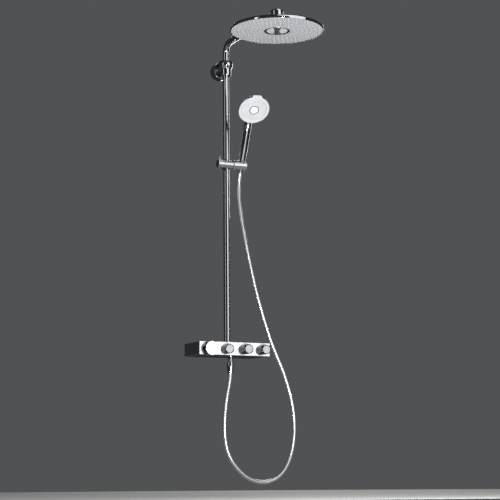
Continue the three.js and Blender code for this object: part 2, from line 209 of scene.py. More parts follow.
# Chromed plastic is softer to the eye: the moulding under it ripples a little more.
plated_plastic = chrome_finish("Chromed ABS", 0xD0D3D8, 0.05, 0.10, 0.022)
# The flanks of dial and knobs are chrome; this darker chrome is painted shade, the dark that
# their sides mirror, so that they stand out on the white front.
painted_shade_chrome = chrome_finish("Chrome with painted shade", 0x303336, 0.08, 0.16, 0.012)
print(chrome.name, plated_plastic.name, painted_shade_chrome.name)

# %% [markdown]
# ## Steel, brass and the plastics
# The hidden fixings are drawn stainless steel and machined brass, with fine tool marks
# on the metal. The light faces are moulded ABS, satin and faintly grained.
# The black rings are glass-filled nylon. The nozzles are soft grey silicone.

# %% Fixings and plastics
def metal_finish(name, dark, light, roughness, mark_mm, stretch):
    material, tree, shader = new_material(name, light, 1.0, roughness)
    marks = noise(tree, mark_mm, 3, stretch)
    tree.links.new(tinted(tree, marks, dark, light), shader.inputs["Base Color"])
    tree.links.new(spread(tree, marks, roughness - 0.06, roughness + 0.08), shader.inputs["Roughness"])
    tree.links.new(bump(tree, marks, 0.02, 0.5), shader.inputs["Normal"])
    return material


FLOW_MARK_MM = 18


def plastic_finish(name, dark, light, roughness, grain_mm, depth_mm, **sockets):
    """A moulded face: faint flow marks in its colour, and a fine grain in its gloss."""
    material, tree, shader = new_material(name, light, 0.0, roughness, **sockets)
    marks = noise(tree, FLOW_MARK_MM, 3)
    tree.links.new(tinted(tree, marks, dark, light), shader.inputs["Base Color"])
    grain = noise(tree, grain_mm, 2)
    tree.links.new(spread(tree, grain, roughness - 0.05, roughness + 0.06), shader.inputs["Roughness"])
    tree.links.new(bump(tree, grain, depth_mm, 0.6), shader.inputs["Normal"])
    return material


# Real tool marks are about 0.1 mm apart. They are drawn 0.8 mm long and a third as wide.
steel = metal_finish("Drawn stainless steel", 0x7E8184, 0xA6A9AC, 0.32, 0.8, (1, 3, 1))
brass = metal_finish("Machined brass", 0x9A7A3C, 0xC0A05C, 0.30, 0.8, (1, 3, 1))
white_plastic = plastic_finish("Satin white ABS", 0xD6D9DB, 0xE2E4E5, 0.30, 0.6, 0.015, IOR=1.53)
# The front plate is lacquered like white glass: smoother than the moulded faces, and clear-coated.
white_gloss = plastic_finish("White lacquered front", 0xD4D6D8, 0xDCDEE0, 0.24, 1.2, 0.006,
                             IOR=1.52, Coat_Weight=0.4, Coat_Roughness=0.06)
spray_face = plastic_finish("Silk grey spray face", 0xC3C6CA, 0xCDD0D3, 0.34, 0.6, 0.015, IOR=1.53)
cap_plastic = plastic_finish("Light grey knob face", 0x9EA1A4, 0xAAADB0, 0.32, 0.5, 0.012, IOR=1.53)
grey_plastic = plastic_finish("Grey moulded ABS", 0x4A4D50, 0x585B5E, 0.38, 0.6, 0.02, IOR=1.53)
black_plastic = plastic_finish("Black glass-filled nylon", 0x101113, 0x1B1C1E, 0.42, 0.5, 0.03, IOR=1.53)
silicone = plastic_finish("Soft silicone", 0xA9ACAF, 0xB6B9BC, 0.55, 0.4, 0.02, IOR=1.41)
print("plastics:", white_plastic.name, black_plastic.name, silicone.name)

# %% [markdown]
# ## The hose's skin
# A smooth shower hose is a clear PVC tube over a silver foil that is wound round the inner
# tube. It looks like bright satin silver with a fine winding under a glossy skin. The
# winding follows the hose, so it reads the tube's own UV map, which is laid out in
# millimetres round and along the hose, and the clear skin is the shader's coat.

# %% Hose material
WINDING_MM = 2.4


def hose_finish():
    material, tree, shader = new_material(
        "Silver foil under clear PVC", 0xC4C7CA, 0.85, 0.24, Coat_Weight=0.6, Coat_Roughness=0.08)
    where = add(tree, "ShaderNodeUVMap", {"uv_map": "winding"})
    parts = add(tree, "ShaderNodeSeparateXYZ", None, {"Vector": where.outputs["UV"]})
    # One turn of the foil is WINDING_MM along the hose; the first number goes round once.
    along = add(tree, "ShaderNodeMath", {"operation": "DIVIDE"}, {
        0: parts.outputs["Y"], 1: WINDING_MM})
    phase = add(tree, "ShaderNodeMath", {"operation": "ADD"}, {
        0: along.outputs["Value"], 1: parts.outputs["X"]})
    turn = add(tree, "ShaderNodeMath", {"operation": "MULTIPLY"}, {
        0: phase.outputs["Value"], 1: 2 * math.pi})
    wave = add(tree, "ShaderNodeMath", {"operation": "SINE"}, {0: turn.outputs["Value"]})
    height = add(tree, "ShaderNodeMapRange", None, {
        "Value": wave.outputs["Value"], "From Min": -1.0, "From Max": 1.0})
    tree.links.new(tinted(tree, height.outputs["Result"], 0xB2B5B8, 0xD8DADC), shader.inputs["Base Color"])
    tree.links.new(spread(tree, height.outputs["Result"], 0.30, 0.22), shader.inputs["Roughness"])
    tree.links.new(bump(tree, height.outputs["Result"], 0.12, 0.5), shader.inputs["Normal"])
    return material


hose_skin = hose_finish()
SLOT_FINISH = {
    "chrome": chrome, "steel": steel, "brass": brass, "white_plastic": white_plastic,
    "grey_plastic": grey_plastic, "black_plastic": black_plastic, "silicone": silicone,
    "hose": hose_skin,
}
print("slots:", sorted(SLOT_FINISH))

# %% [markdown]
# ## Helpers that make meshes
# Every round piece is a profile turned about an axis, as a lathe does. Real edges are
# never sharp, and on chrome it is the small radius at an edge that catches the light, so
# the profile's corners are rounded before it is turned. Faces that meet at less than 35
# degrees are shaded smooth, and weighted normals keep the flat parts flat.

# %% Profiles and objects
SMOOTH_ANGLE = math.radians(35)


def rounded(profile, fillet, steps=3):
    """Replaces each corner of a closed profile by a small arc, in millimetres."""
    points = [Vector(p) for p in profile]
    result = []
    for i, corner in enumerate(points):
        before, after = points[i - 1], points[(i + 1) % len(points)]
        room = min((before - corner).length, (after - corner).length)
        reach = min(fillet, room * 0.45)
        if corner.x == 0 or reach < 0.02:
            result.append(corner)
            continue
        first = corner + (before - corner).normalized() * reach
        last = corner + (after - corner).normalized() * reach
        for step in range(steps + 1):
            t = step / steps
            result.append(first * (1 - t) ** 2 + corner * 2 * t * (1 - t) + last * t * t)
    return result


def as_object(name, mesh, material):
    """Writes a bmesh to a new object, with smooth faces and sharp creases."""
    bmesh.ops.recalc_face_normals(mesh, faces=mesh.faces)
    for edge in mesh.edges:
        edge.smooth = edge.calc_face_angle(0.0) < SMOOTH_ANGLE
    for face in mesh.faces:
        face.smooth = True
    data = bpy.data.meshes.new(name)
    mesh.to_mesh(data)
    mesh.free()
    piece = bpy.data.objects.new(name, data)
    piece.data.materials.append(material)
    bpy.context.scene.collection.objects.link(piece)
    return piece


def settled(piece):
    """Applies a piece's modifiers, so that what is left is a plain mesh."""
    bpy.context.view_layer.update()
    seen = piece.evaluated_get(bpy.context.evaluated_depsgraph_get())
    data = bpy.data.meshes.new_from_object(seen)
    piece.modifiers.clear()
    old = piece.data
    piece.data = data
    data.name = piece.name
    bpy.data.meshes.remove(old)
    return piece


def evened(piece):
    """Weighted normals: large flat faces decide how a corner is shaded."""
    modifier = piece.modifiers.new("even", "WEIGHTED_NORMAL")
    modifier.keep_sharp = True
    return settled(piece)


print("smooth below", round(math.degrees(SMOOTH_ANGLE)), "degrees")


# %% Lathe
def lathe_mesh(profile, sides, turn):
    """A closed profile of (radius, height) points turned about Z, in millimetres."""
    mesh = bmesh.new()
    rings = []
    for radius, height in profile:
        spots = 1 if radius < 1e-6 else sides
        rings.append([mesh.verts.new((
            radius * MM * math.cos(2 * math.pi * k / sides),
            radius * MM * math.sin(2 * math.pi * k / sides), height * MM)) for k in range(spots)])
    if len(rings[0]) > 1 or len(rings[-1]) > 1:
        rings.append(rings[0])
    for low, high in zip(rings, rings[1:]):
        for k in range(sides):
            n = (k + 1) % sides
            lower = [low[0]] if len(low) == 1 else [low[k], low[n]]
            upper = [high[0]] if len(high) == 1 else [high[n], high[k]]
            if len(lower) + len(upper) > 2:
                mesh.faces.new(lower + upper)
    mesh.transform(turn)
    return mesh


def turned(name, profile, turn, material, sides, fillet):
    """A finished piece from a profile whose corners get a fillet."""
    mesh = lathe_mesh(rounded(profile, fillet), sides, turn)
    return evened(as_object(name, mesh, material))


def at(x, y, z=0):
    return Matrix.Translation((x * MM, y * MM, z * MM))


def outward(x, z):
    """From the wall into the room: a profile's height becomes distance from the wall."""
    return at(x, 0, z) @ Matrix.Rotation(math.pi / 2, 4, "X")


def sideways(y, z):
    """Along the thermostat: a profile's height becomes X."""
    return at(0, y, z) @ Matrix.Rotation(math.pi / 2, 4, "Y")


def aimed(direction, place):
    """Turns a profile's axis to a direction, and moves it to a place in metres."""
    turn = Vector((0, 0, 1)).rotation_difference(direction)
    return Matrix.Translation(place) @ turn.to_matrix().to_4x4()


def belongs_to(piece, body):
    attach(piece, body)


def stands_for(piece, node):
    """Puts a finished piece in a node's place, on the body that the record gives, and hides the node."""
    belongs_to(piece, node_body[node])
    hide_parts(node)


print("outward is", outward(0, 0).to_3x3() @ Vector((0, 0, 1)))

# %% [markdown]
# ## The shower hose
# The hose is one length of 14 mm tube, 1.66 m, from the nut under the thermostat, down in
# a loop and up to the cone of the hand shower. It follows the same points as the frame's
# own hose. It is a mesh tube rather than a curve object with a bevel, with rings 4 mm apart,
# cut in three at the slider and the holder, where one joint's motion ends and the next begins.

# %% Hose route
HOSE_DIAMETER = 0.014
RING_STEP = 0.004
HOSE_POINTS = [
    (0, -90, -58), (0, -90, -86), (-4, -90, -116), (-12, -90, -156), (-19, -90, -205),
    (-23, -90, -255), (-21, -90, -302), (-12, -90, -345), (4, -90, -379), (30, -90, -410),
    (63, -90, -436), (101, -90, -450), (139, -89, -451), (174, -89, -438), (204, -89, -411),
    (226, -88, -373), (240, -88, -328), (247, -87, -265), (243, -86, -200), (233, -85, -151),
    (219, -84, -104), (201, -83, -56), (179, -82, -7), (158, -81, 44), (140, -79, 98),
    (123, -77, 155), (108, -75, 210), (95, -73, 266), (83, -71, 322), (72, -69, 378),
    (62, -66, 435), (54, -63, 491), (49.5, -61, 545), (49.5, -63, 588),
    (49.5, -68.5, 613.5), (49.5, -73, 625), (49.5, -77.6, 636.5),
]


def smooth_line(points, step):
    """A centripetal Catmull-Rom curve through points, resampled at an even step."""
    spots = [Vector(p) for p in points]
    spots = [spots[0] * 2 - spots[1]] + spots + [spots[-1] * 2 - spots[-2]]
    dense = []
    parts = 40
    for a, b, c, d in zip(spots, spots[1:], spots[2:], spots[3:]):
        t0 = 0.0
        t1 = t0 + math.sqrt((b - a).length)
        t2 = t1 + math.sqrt((c - b).length)
        t3 = t2 + math.sqrt((d - c).length)
        for i in range(parts):
            t = t1 + (t2 - t1) * i / parts
            ab = a.lerp(b, (t - t0) / (t1 - t0))
            bc = b.lerp(c, (t - t1) / (t2 - t1))
            cd = c.lerp(d, (t - t2) / (t3 - t2))
            near = ab.lerp(bc, (t - t0) / (t2 - t0))
            far = bc.lerp(cd, (t - t1) / (t3 - t1))
            dense.append(near.lerp(far, (t - t1) / (t2 - t1)))
    dense.append(spots[-2])
    length = sum((q - p).length for p, q in zip(dense, dense[1:]))
    count = round(length / step)
    result, walked, target = [dense[0]], 0.0, length / count
    for p, q in zip(dense, dense[1:]):
        piece = (q - p).length
        while walked + piece >= target - 1e-12 and len(result) < count:
            result.append(p.lerp(q, (target - walked) / piece))
            target += length / count
        walked += piece
    return result + [dense[-1]]


def line_length(line):
    return sum((q - p).length for p, q in zip(line, line[1:]))


hose_line = smooth_line([[c * MM for c in p] for p in HOSE_POINTS], RING_STEP)
print("hose length", round(line_length(hose_line), 3), "m in", len(hose_line), "rings")

# %% [markdown]
# ## A tube along a line
# One ring of points is carried along the line without twisting: at each step the ring is
# turned only as much as the line turns. The UV map counts turns round the tube and
# millimetres along it. A pipe with a wall gets a second skin inside and flat end faces.

# %% Tube
def carried_frames(line):
    """At each point: the way along, and two directions across that don't twist."""
    frames = []
    across = None
    for i, spot in enumerate(line):
        along = (line[min(i + 1, len(line) - 1)] - line[max(i - 1, 0)]).normalized()
        if across is None:
            across = along.orthogonal().normalized()
        else:
            across = frames[-1][0].rotation_difference(along) @ frames[-1][1]
            across = (across - along * across.dot(along)).normalized()
        frames.append((along, across, along.cross(across)))
    return frames


def tube(name, line, radius, material, sides, bore=0.0, start_mm=0.0):
    """A tube, solid or with a bore, along a line in metres."""
    mesh = bmesh.new()
    uv = mesh.loops.layers.uv.new("winding")
    frames = carried_frames(line)

    def skin(size):
        return [[mesh.verts.new(spot + (u * math.cos(2 * math.pi * k / sides)
                                        + v * math.sin(2 * math.pi * k / sides)) * size)
                 for k in range(sides)] for spot, (_, u, v) in zip(line, frames)]

    def wrap(rings):
        walked = start_mm
        for i, (low, high) in enumerate(zip(rings, rings[1:])):
            onward = walked + (line[i + 1] - line[i]).length / MM
            for k in range(sides):
                n = (k + 1) % sides
                face = mesh.faces.new((low[k], low[n], high[n], high[k]))
                corners = ((k, walked), (k + 1, walked), (k + 1, onward), (k, onward))
                for loop, (turn, height) in zip(face.loops, corners):
                    loop[uv].uv = (turn / sides, height)
            walked = onward

    outer = skin(radius)
    wrap(outer)
    if bore:
        inner = skin(bore)
        wrap(inner)
        for out_ring, in_ring in ((outer[0], inner[0]), (outer[-1], inner[-1])):
            for k in range(sides):
                n = (k + 1) % sides
                mesh.faces.new((out_ring[k], out_ring[n], in_ring[n], in_ring[k]))
    else:
        mesh.faces.new(outer[0])
        mesh.faces.new(outer[-1])
    return as_object(name, mesh, material)


print("the hose gets rings", RING_STEP / MM, "mm apart")

# %% Hose in three stretches
# Each cut is at a ring, so neighbours meet exactly. The long stretch runs from the nut
# through the loop up to the slider; the line between its listed start and end points leans
# at 42 degrees.
SLIDER_CUT = 0.455
HOLDER_CUT = 0.548
HOSE_SIDES = 24


def first_ring_above(height, after):
    return next(i for i, p in enumerate(hose_line) if i > after and p.z >= height)


lowest_ring = min(range(len(hose_line)), key=lambda i: hose_line[i].z)
cut_one = first_ring_above(SLIDER_CUT, lowest_ring)
cut_two = first_ring_above(HOLDER_CUT, lowest_ring)
STRETCHES = [
    ("hose_loop", 0, cut_one, "column", "slider", (-0.002, -0.087, -0.002), (0.250, -0.087, 0.225)),
    ("hose_rise", cut_one, cut_two, "slider", "holder", (0, 0, 0.460), (0, 0, 0.545)),
    ("hose_top", cut_two, len(hose_line) - 1, "holder", "hand_shower", (0, 0, 0.551), (0, 0, 0.622)),
]
for name, first, last, lower_body, upper_body, start, end in STRETCHES:
    line = hose_line[first:last + 1]
    walked_mm = line_length(hose_line[:first + 1]) / MM
    stretch = tube(name, line, HOSE_DIAMETER / 2, hose_skin, HOSE_SIDES, start_mm=walked_mm)
    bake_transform(stretch)
    if name == "hose_loop":
        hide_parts("shower_hose")
    print(name, round(line_length(line), 3), "m")

# %% [markdown]
# ## Riser rail, swivel and arm
# The rail is a 22 mm chromed tube, and so is the arm, which rises from the swivel, bends
# once and runs level into the room. Both are carried along their line with a real wall.
# The bend gets many short steps, because a mirror shows every facet.

# %% Pipes
RAIL_Y = -65
RAIL_RADIUS = 11
RAIL_BORE = 9.3
ARM_BASE = 1024.6
ARM_Z = 1089
ARM_BEND = 38
BEND_STEPS = 32
HEAD_Y = -466
PIPE_SIDES = 96


def arm_points():
    line = [Vector((0, RAIL_Y, z)) for z in (ARM_BASE, ARM_BASE + 12, ARM_Z - ARM_BEND - 1)]
    for i in range(BEND_STEPS + 1):
        turn = i / BEND_STEPS * math.pi / 2
        line.append(Vector((0, RAIL_Y - ARM_BEND * (1 - math.cos(turn)),
                            ARM_Z - ARM_BEND * (1 - math.sin(turn)))))
    line += [Vector((0, y, ARM_Z)) for y in (RAIL_Y - ARM_BEND - 1, -200, -330, HEAD_Y + 13)]
    return [p * MM for p in line]


rail_line = [Vector((0, RAIL_Y, z)) * MM for z in (6.3, 200, 400, 600, 800, 1000)]
rail = tube("riser_pipe", rail_line, RAIL_RADIUS * MM, chrome, PIPE_SIDES, bore=RAIL_BORE * MM)
stands_for(rail, "riser_rail")
arm = tube("arm_pipe", arm_points(), RAIL_RADIUS * MM, chrome, PIPE_SIDES, bore=RAIL_BORE * MM)
stands_for(arm, "shower_arm")
print("arm length", round(line_length(arm_points()), 3), "m")

# %% [markdown]
# ## Turned pieces round the rail and on the wall
# Collar, drum, stem, swivel ring and nuts are all turned on a lathe, so one table lists
# them: the piece, the frame's node that it stands for, its finish and axis, the number of
# sides, the fillet and the profile.

# %% Turned pieces
UP_RAIL = at(0, RAIL_Y)
UP_HEAD = at(0, HEAD_Y)
UP_HOSE = at(0, -90)
BRACKET_Z = 1000
SLIDE_Y = -83
SLIDE_Z = 650
BALL_Z = 1062


def arc(radius, first, last, steps, centre):
    """Profile points on a circle about the axis, by degrees down from the top."""
    angles = [math.radians(first + (last - first) * i / steps) for i in range(steps + 1)]
    return [(abs(round(radius * math.sin(a), 6)), centre + radius * math.cos(a)) for a in angles]


TURNED = [
    ("collar", "riser_collar", chrome, UP_RAIL, 64, 1.2,
     [(11.3, 22.3), (17, 22.3), (17, 30), (11.3, 30)]),
    ("drum", "bracket_drum", chrome, outward(0, BRACKET_Z), 96, 1.3,
     [(28.6, 0.3), (31, 0.3), (31, 35), (9.3, 35), (9.3, 32.5), (28.6, 32.5)]),
    ("stem", "bracket_stem", chrome, outward(0, BRACKET_Z), 64, 0.4,
     [(0, 4.3), (9, 4.3), (9, 50), (0, 50)]),
    ("swivel_washer", "swivel_ring", black_plastic, UP_RAIL, 96, 0.8,
     [(9.6, 1017.3), (23.5, 1017.3), (23.5, 1024.3), (9.6, 1024.3)]),
    ("hub", "arm_hub", chrome, UP_HEAD, 96, 2.6,
     [(0, 1074.5), (21.5, 1074.5), (21.5, 1098.5), (18.4, 1103), (0, 1103.5)]),
    ("ball", "ball_stud", steel, UP_HEAD, 48, 0.2,
     [(0, 1082.5), (5, 1082.5)] + arc(10, 30, 180, 14, BALL_Z)),
    ("seat", "ball_seat", black_plastic, UP_HEAD, 48, 0.2,
     arc(10.5, 60, 132, 8, BALL_Z) + arc(12.4, 132, 60, 8, BALL_Z)),
    ("nut", "ball_nut", chrome, UP_HEAD, 96, 0.9,
     [(9.5, 1053.3), (19, 1053.3), (19, 1065.5), (17, 1068)] + arc(12.9, 42, 132, 8, BALL_Z)[:-1]),
    ("outlet", "outlet_nipple", chrome, UP_HOSE, 48, 0.4,
     [(5.5, -50), (8.5, -50), (8.5, -18.8), (5.5, -18.8)]),
    ("lower_nut", "hose_nut", chrome, UP_HOSE, 64, 0.7,
     [(8.8, -43), (11.4, -43), (12, -45), (12, -58), (9.4, -84), (7.6, -84), (7.6, -50.4),
      (8.8, -50.4)]),
]
for name, node, material, turn, sides, fillet, profile in TURNED:
    stands_for(turned(name, profile, turn, material, sides, fillet), node)
print("turned pieces:", len(TURNED))

# %% [markdown]
# ## Pieces that are joined and bored
# The thermostat's shell, the wall socket, the slider and the holder are not plain turned
# shapes: bars meet at right angles and holes go through them. They are built as a smith
# would, by joining solids and boring them, and then every edge that is left gets a small
# radius with a bevel. Boolean modifiers do the first part and Bevel the second.

# %% Joining and boring
def box_mesh(low, high):
    mesh = bmesh.new()
    bmesh.ops.create_cube(mesh, size=1)
    size = [h - l for l, h in zip(low, high)]
    middle = [(h + l) / 2 for l, h in zip(low, high)]
    mesh.transform(at(*middle) @ Matrix.Diagonal((*[s * MM for s in size], 1)))
    return mesh


def rod_mesh(radius, low, high, turn, sides=64):
    return lathe_mesh([(0, low), (radius, low), (radius, high), (0, high)], sides, turn)


def combine(piece, operation, other):
    step = piece.modifiers.new(operation.lower(), "BOOLEAN")
    step.operation = operation
    step.solver = "EXACT"
    step.object = other


def discard(piece):
    data = piece.data
    bpy.data.objects.remove(piece)
    bpy.data.meshes.remove(data)


WELD = 1e-6


def worked(name, joined, bored, material, fillet, bevel_angle=40):
    """Joins solids, bores others out of them, and rounds the edges that are left."""
    helpers = [as_object(f"{name}_part{i}", mesh, material) for i, mesh in enumerate(joined + bored)]
    piece = helpers[0]
    for i, helper in enumerate(helpers[1:], 1):
        combine(piece, "UNION" if i < len(joined) else "DIFFERENCE", helper)
    edges = piece.modifiers.new("edges", "BEVEL")
    edges.width = fillet * MM
    edges.segments = 3
    edges.limit_method = "ANGLE"
    edges.angle_limit = math.radians(bevel_angle)
    edges.miter_outer = "MITER_ARC"
    settled(piece)
    mesh = bmesh.new()
    mesh.from_mesh(piece.data)
    bmesh.ops.remove_doubles(mesh, verts=mesh.verts, dist=WELD)
    bmesh.ops.dissolve_degenerate(mesh, edges=mesh.edges, dist=WELD)
    for helper in helpers:
        discard(helper)
    return evened(as_object(name, mesh, material))


print("weld distance", WELD, "m")


# %% [markdown]
# ## The thermostat
# A flat chromed bar, 265 mm long, with a thin white front plate that stands a hair proud of
# its shell and end plates. The fine dark joint round it tells the eye that it is a separate
# piece, and against the white the chrome flanks of the knobs, darkened as painted shade, stand out.

# %% Thermostat shell and plates
CASE_HALF = 132.5
CASE_TOP = 22
CASE_FRONT = -129
CONTROL_X = [-103.25, -36.75, 29.75, 96.25]
CONTROL_Z = -3.5
KNOB_RADIUS = 16.3
PLATE = 3
GAP = 0.3
CASE_BACK = -0.6
CASE_INNER_TOP = 20.3
shell_front = CASE_FRONT + PLATE + GAP
shell_half = CASE_HALF - PLATE - GAP


def openings():
    """The dial's stem and the three knobs come out through these."""
    radii = [8] + [KNOB_RADIUS + 0.6] * 3
    return [rod_mesh(r, 120, 140, outward(x, CONTROL_Z)) for x, r in zip(CONTROL_X, radii)]


front = worked(
    "front", [box_mesh((-CASE_HALF, CASE_FRONT, -CASE_TOP), (CASE_HALF, CASE_FRONT + PLATE, CASE_TOP))],
    openings(), white_gloss, 0.7)
stands_for(front, "front_plate")

case = worked(
    "case", [box_mesh((-shell_half, shell_front, -CASE_TOP), (shell_half, CASE_BACK, CASE_TOP))],
    [box_mesh((-140, shell_front + 2.2, -CASE_INNER_TOP), (140, 5, CASE_INNER_TOP)),
     rod_mesh(13, 10, 30, UP_RAIL), rod_mesh(9.5, -30, -10, UP_HOSE)] + openings(), chrome, 0.4)
stands_for(case, "thermostat_casing")

for name, node, side in (("end_left", "end_cap_left", -1), ("end_right", "end_cap_right", 1)):
    low_x, high_x = sorted((side * (CASE_HALF - PLATE), side * CASE_HALF))
    end = worked(name, [box_mesh((low_x, shell_front, -CASE_TOP), (high_x, CASE_BACK, CASE_TOP))],
                 [], chrome, 0.7)
    stands_for(end, node)
print("thermostat faces:", len(front.data.polygons), len(case.data.polygons))

# %% [markdown]
# ## The dial and the knobs
# At the left a plain dial sets the temperature. The other three knobs push in for on and
# off and turn for the flow. Each has a chrome sleeve, darkened as painted shade, with a rolled
# edge and a light face that is let in by a fraction of a millimetre, with one fine groove near its rim.

# %% Dial
DIAL_FOOT = 129.8
DIAL_FRONT = 169
DIAL_RADIUS = 24
STEM_BORE = 5.4
# The dial's flank is chrome; its darker finish is painted shade.
dial = turned("dial", [
    (STEM_BORE, DIAL_FOOT), (DIAL_RADIUS, DIAL_FOOT), (DIAL_RADIUS, DIAL_FRONT), (0, DIAL_FRONT),
    (0, DIAL_FRONT - 12), (STEM_BORE, DIAL_FRONT - 12)],
    outward(CONTROL_X[0], CONTROL_Z), painted_shade_chrome, 96, 2.2)


def inlaid(piece, material, belongs):
    """Gives a second finish to the faces that a rule picks, such as an inlaid disc."""
    piece.data.materials.append(material)
    picked = [face for face in piece.data.polygons if belongs(face.center)]
    for face in picked:
        face.material_index = len(piece.data.materials) - 1
    return len(picked)


print("dial face:", inlaid(dial, white_gloss, lambda p: p.y < -(DIAL_FRONT - 1.2) * MM))
stands_for(dial, "temperature_dial")

# %% Knobs
# The hand shower's knob is pressed in by 12 mm; the other two stand popped out.
KNOBS = [("hand", 166), ("middle", 178), ("rain", 178)]
SLEEVE_LENGTH = 48.6
RECESS = 4.2
for x, (use, out_to) in zip(CONTROL_X[1:], KNOBS):
    foot = out_to - SLEEVE_LENGTH
    # The sleeve is chrome; its darker finish is painted shade.
    grip = turned(f"{use}_sleeve", [
        (STEM_BORE, foot), (KNOB_RADIUS, foot), (KNOB_RADIUS, out_to), (14, out_to),
        (14, out_to - RECESS), (STEM_BORE, out_to - RECESS)],
        outward(x, CONTROL_Z), painted_shade_chrome, 96, 0.9)
    stands_for(grip, f"{use}_knob_grip")
    face = turned(f"{use}_face", [
        (0, out_to - 3.9), (13.6, out_to - 3.9), (13.6, out_to - 0.4), (10.8, out_to - 0.4),
        (10.8, out_to - 1.0), (9.6, out_to - 1.0), (9.6, out_to - 0.3), (0, out_to - 0.2)],
        outward(x, CONTROL_Z), cap_plastic, 64, 0.3)
    stands_for(face, f"{use}_knob_cap")
print("knobs:", len(KNOBS))

# %% [markdown]
# ## The wall socket
# The socket holds the rail's top from behind and carries the swivel. It is a sleeve that
# widens to a collar, with a boss towards the wall for the stem.

# %% Socket
socket = worked(
    "socket",
    [lathe_mesh(rounded([(0, 973), (19, 973), (19, 998), (25, 1006.5), (25, 1017), (0, 1017)], 1.2),
                96, UP_RAIL),
     rod_mesh(11.5, 43, 65, outward(0, BRACKET_Z), 64)],
    [rod_mesh(11.3, 960, 1000.3, UP_RAIL, 64), rod_mesh(9.3, 990, 1030, UP_RAIL, 64),
     rod_mesh(9.3, 30, 50.3, outward(0, BRACKET_Z), 64)], chrome, 0.4, 60)
stands_for(socket, "rail_socket")

# %% [markdown]
# ## Slider, clamp and holder
# One bar crosses the rail: the clamp knob at its left end, the slider body in the middle
# and the turning holder at its right. All three are 26 to 32 mm round, so that the bar
# reads as one piece with two fine joints. A small lever stands up from the clamp knob.

# %% Slider bar
ALONG_BAR = sideways(SLIDE_Y, SLIDE_Z)
HOLDER_X = 49.5
HAND_TILT = math.radians(21.8)
hand_axis = Vector((0, -math.sin(HAND_TILT), math.cos(HAND_TILT)))
hand_foot = Vector((HOLDER_X, SLIDE_Y, SLIDE_Z)) * MM
ON_HAND_LINE = aimed(hand_axis, hand_foot)

body = worked(
    "slide", [rod_mesh(13, -18.5, 15.5, ALONG_BAR, 96), rod_mesh(16, 637.5, 662.5, UP_RAIL, 96)],
    [rod_mesh(12.3, 620, 680, UP_RAIL, 64), rod_mesh(3.9, -24, -7, ALONG_BAR, 32),
     rod_mesh(3.9, 6, 22, ALONG_BAR, 32)], chrome, 0.6, 50)
stands_for(body, "slider_body")

clamp = turned("clamp_grip", [(0, -42), (14, -42), (14, -19), (3.9, -19), (3.9, -25), (0, -25)],
               ALONG_BAR, chrome, 96, 0.9)
stands_for(clamp, "clamp_knob")
lever = turned("clamp_pin", [(0, 658.3), (3, 658.3), (3, 679), (0, 679)], at(-34.6, SLIDE_Y),
               chrome, 32, 0.9)
stands_for(lever, "clamp_lever")


def cone_radius(s):
    """The taper that holder and hose cone share, at a height along the handle."""
    return 11.5 + 0.05 * s


# The holder's bore is a slight cone, and a slot behind it lets the hose pass.
slot_mesh = box_mesh((-7.6, 0, -30), (7.6, 30, 30))
slot_mesh.transform(ON_HAND_LINE)
holder = worked(
    "holder_cup",
    [lathe_mesh(rounded([(0, 16), (16, 16), (16, 66), (0, 66)], 0.9), 96, ALONG_BAR)],
    [lathe_mesh([(0, -24), (cone_radius(-24) + 0.3, -24), (cone_radius(24) + 0.3, 24), (0, 24)],
                64, ON_HAND_LINE), slot_mesh, rod_mesh(3.9, 10, 23, ALONG_BAR, 32)], chrome, 0.4, 60)
stands_for(holder, "hand_holder")
cone = turned("hose_end", [
    (7.6, -24), (cone_radius(-24), -24), (cone_radius(18), 18), (4, 18), (4, -13.6),
    (7.6, -13.6)], ON_HAND_LINE, chrome, 64, 0.6)
stands_for(cone, "hose_cone")
print("slider bar faces:", len(body.data.polygons), len(holder.data.polygons))

# %% [markdown]
# ## The hand shower
# Handle, neck and round head are one chromed moulding with no joint between them, so the
# neck has to flow into both. Three solids, a turned handle, a carried neck and a turned
# bowl, are joined, wrapped in an even skin by a voxel remesh, and relaxed by smoothing,
# which fills the creases with soft hollows as the real moulding has. The recess for the
# face is bored afterwards, so that its edge stays crisp.

# %% Hand shower's head
FACE_CENTRE = Vector((42, -204, 823)) * MM
FACE_NORMAL = Vector((-0.115, -0.66, -0.742)).normalized()
FACE_RADIUS = 54.5
# A basis for the head: right along the face, up along the face, and back into the head.
face_up = (Vector((0, 0, 1)) - FACE_NORMAL * FACE_NORMAL.z).normalized()
face_side = face_up.cross(-FACE_NORMAL)
ON_FACE = Matrix.Translation(FACE_CENTRE) @ Matrix((
    face_side, face_up, -FACE_NORMAL)).transposed().to_4x4()


NECK_RADIUS = 0.0138
SKIN_VOXEL = 0.0013
print("the head looks along", [round(c, 2) for c in FACE_NORMAL])


# %% Hand shower body
def hand_point(s):
    return hand_foot + hand_axis * s * MM


def hand_body():
    """Handle, neck and bowl as one flowing shape."""
    handle = lathe_mesh([(0, 18.3), (12.2, 18.3), (13.2, 70), (13.9, 128), (13, 136), (0, 140)],
                        64, ON_HAND_LINE)
    neck_line = smooth_line([
        hand_point(118), hand_point(134), Vector((49.2, -141.5, 795.5)) * MM,
        Vector((47.4, -157, 811)) * MM, Vector((44.8, -181, 824)) * MM], 0.003)
    neck = tube("neck_form", neck_line, NECK_RADIUS, plated_plastic, 48)
    bowl = [(0, 24.5), (22, 23.3), (38, 19.4), (48.5, 13.6), (53.8, 8), (55.2, 4), (55.2, 1.5),
            (0, 1.5)]
    form = as_object("hand_form", handle, plated_plastic)
    head = as_object("bowl_form", lathe_mesh(rounded(bowl, 2.0), 96, ON_FACE), plated_plastic)
    for other in (neck, head):
        combine(form, "UNION", other)
    skin = form.modifiers.new("skin", "REMESH")
    skin.mode = "VOXEL"
    skin.voxel_size = SKIN_VOXEL
    relax = form.modifiers.new("relax", "SMOOTH")
    relax.factor = 0.5
    relax.iterations = 14
    settled(form)
    discard(neck)
    discard(head)
    return form


